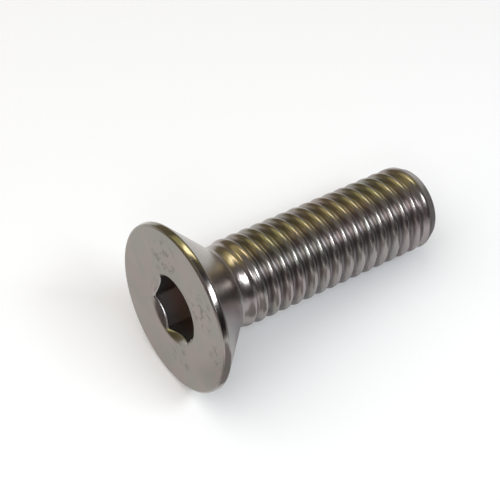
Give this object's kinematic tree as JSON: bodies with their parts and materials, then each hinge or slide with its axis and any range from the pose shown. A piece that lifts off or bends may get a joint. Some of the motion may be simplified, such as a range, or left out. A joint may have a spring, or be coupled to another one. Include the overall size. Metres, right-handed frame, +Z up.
{
  "type": "countersunk socket head screw",
  "caption": "Steel machine screw with a flat countersunk head, a hexagon socket in its face and a fully threaded shank with a chamfered tip, lying on its side.",
  "frame": {"origin": "on the ground under the middle of the lying screw: the bottom centre of its bounding box", "axes": "+Z up, +X along the ground from the head towards the tip, +Y across the screw; the screw's own axis dips 8.5 degrees below +X, because the head is wider than the shank"},
  "size_m": [0.021, 0.0116, 0.0115],
  "materials": {
    "stainless_steel": "cold-formed and tumbled stainless steel: satin grey on the flat face, brighter on the thread"
  },
  "bodies": {
    "root": {"countersunk_screw": "stainless_steel"}
  },
  "joints": []
}
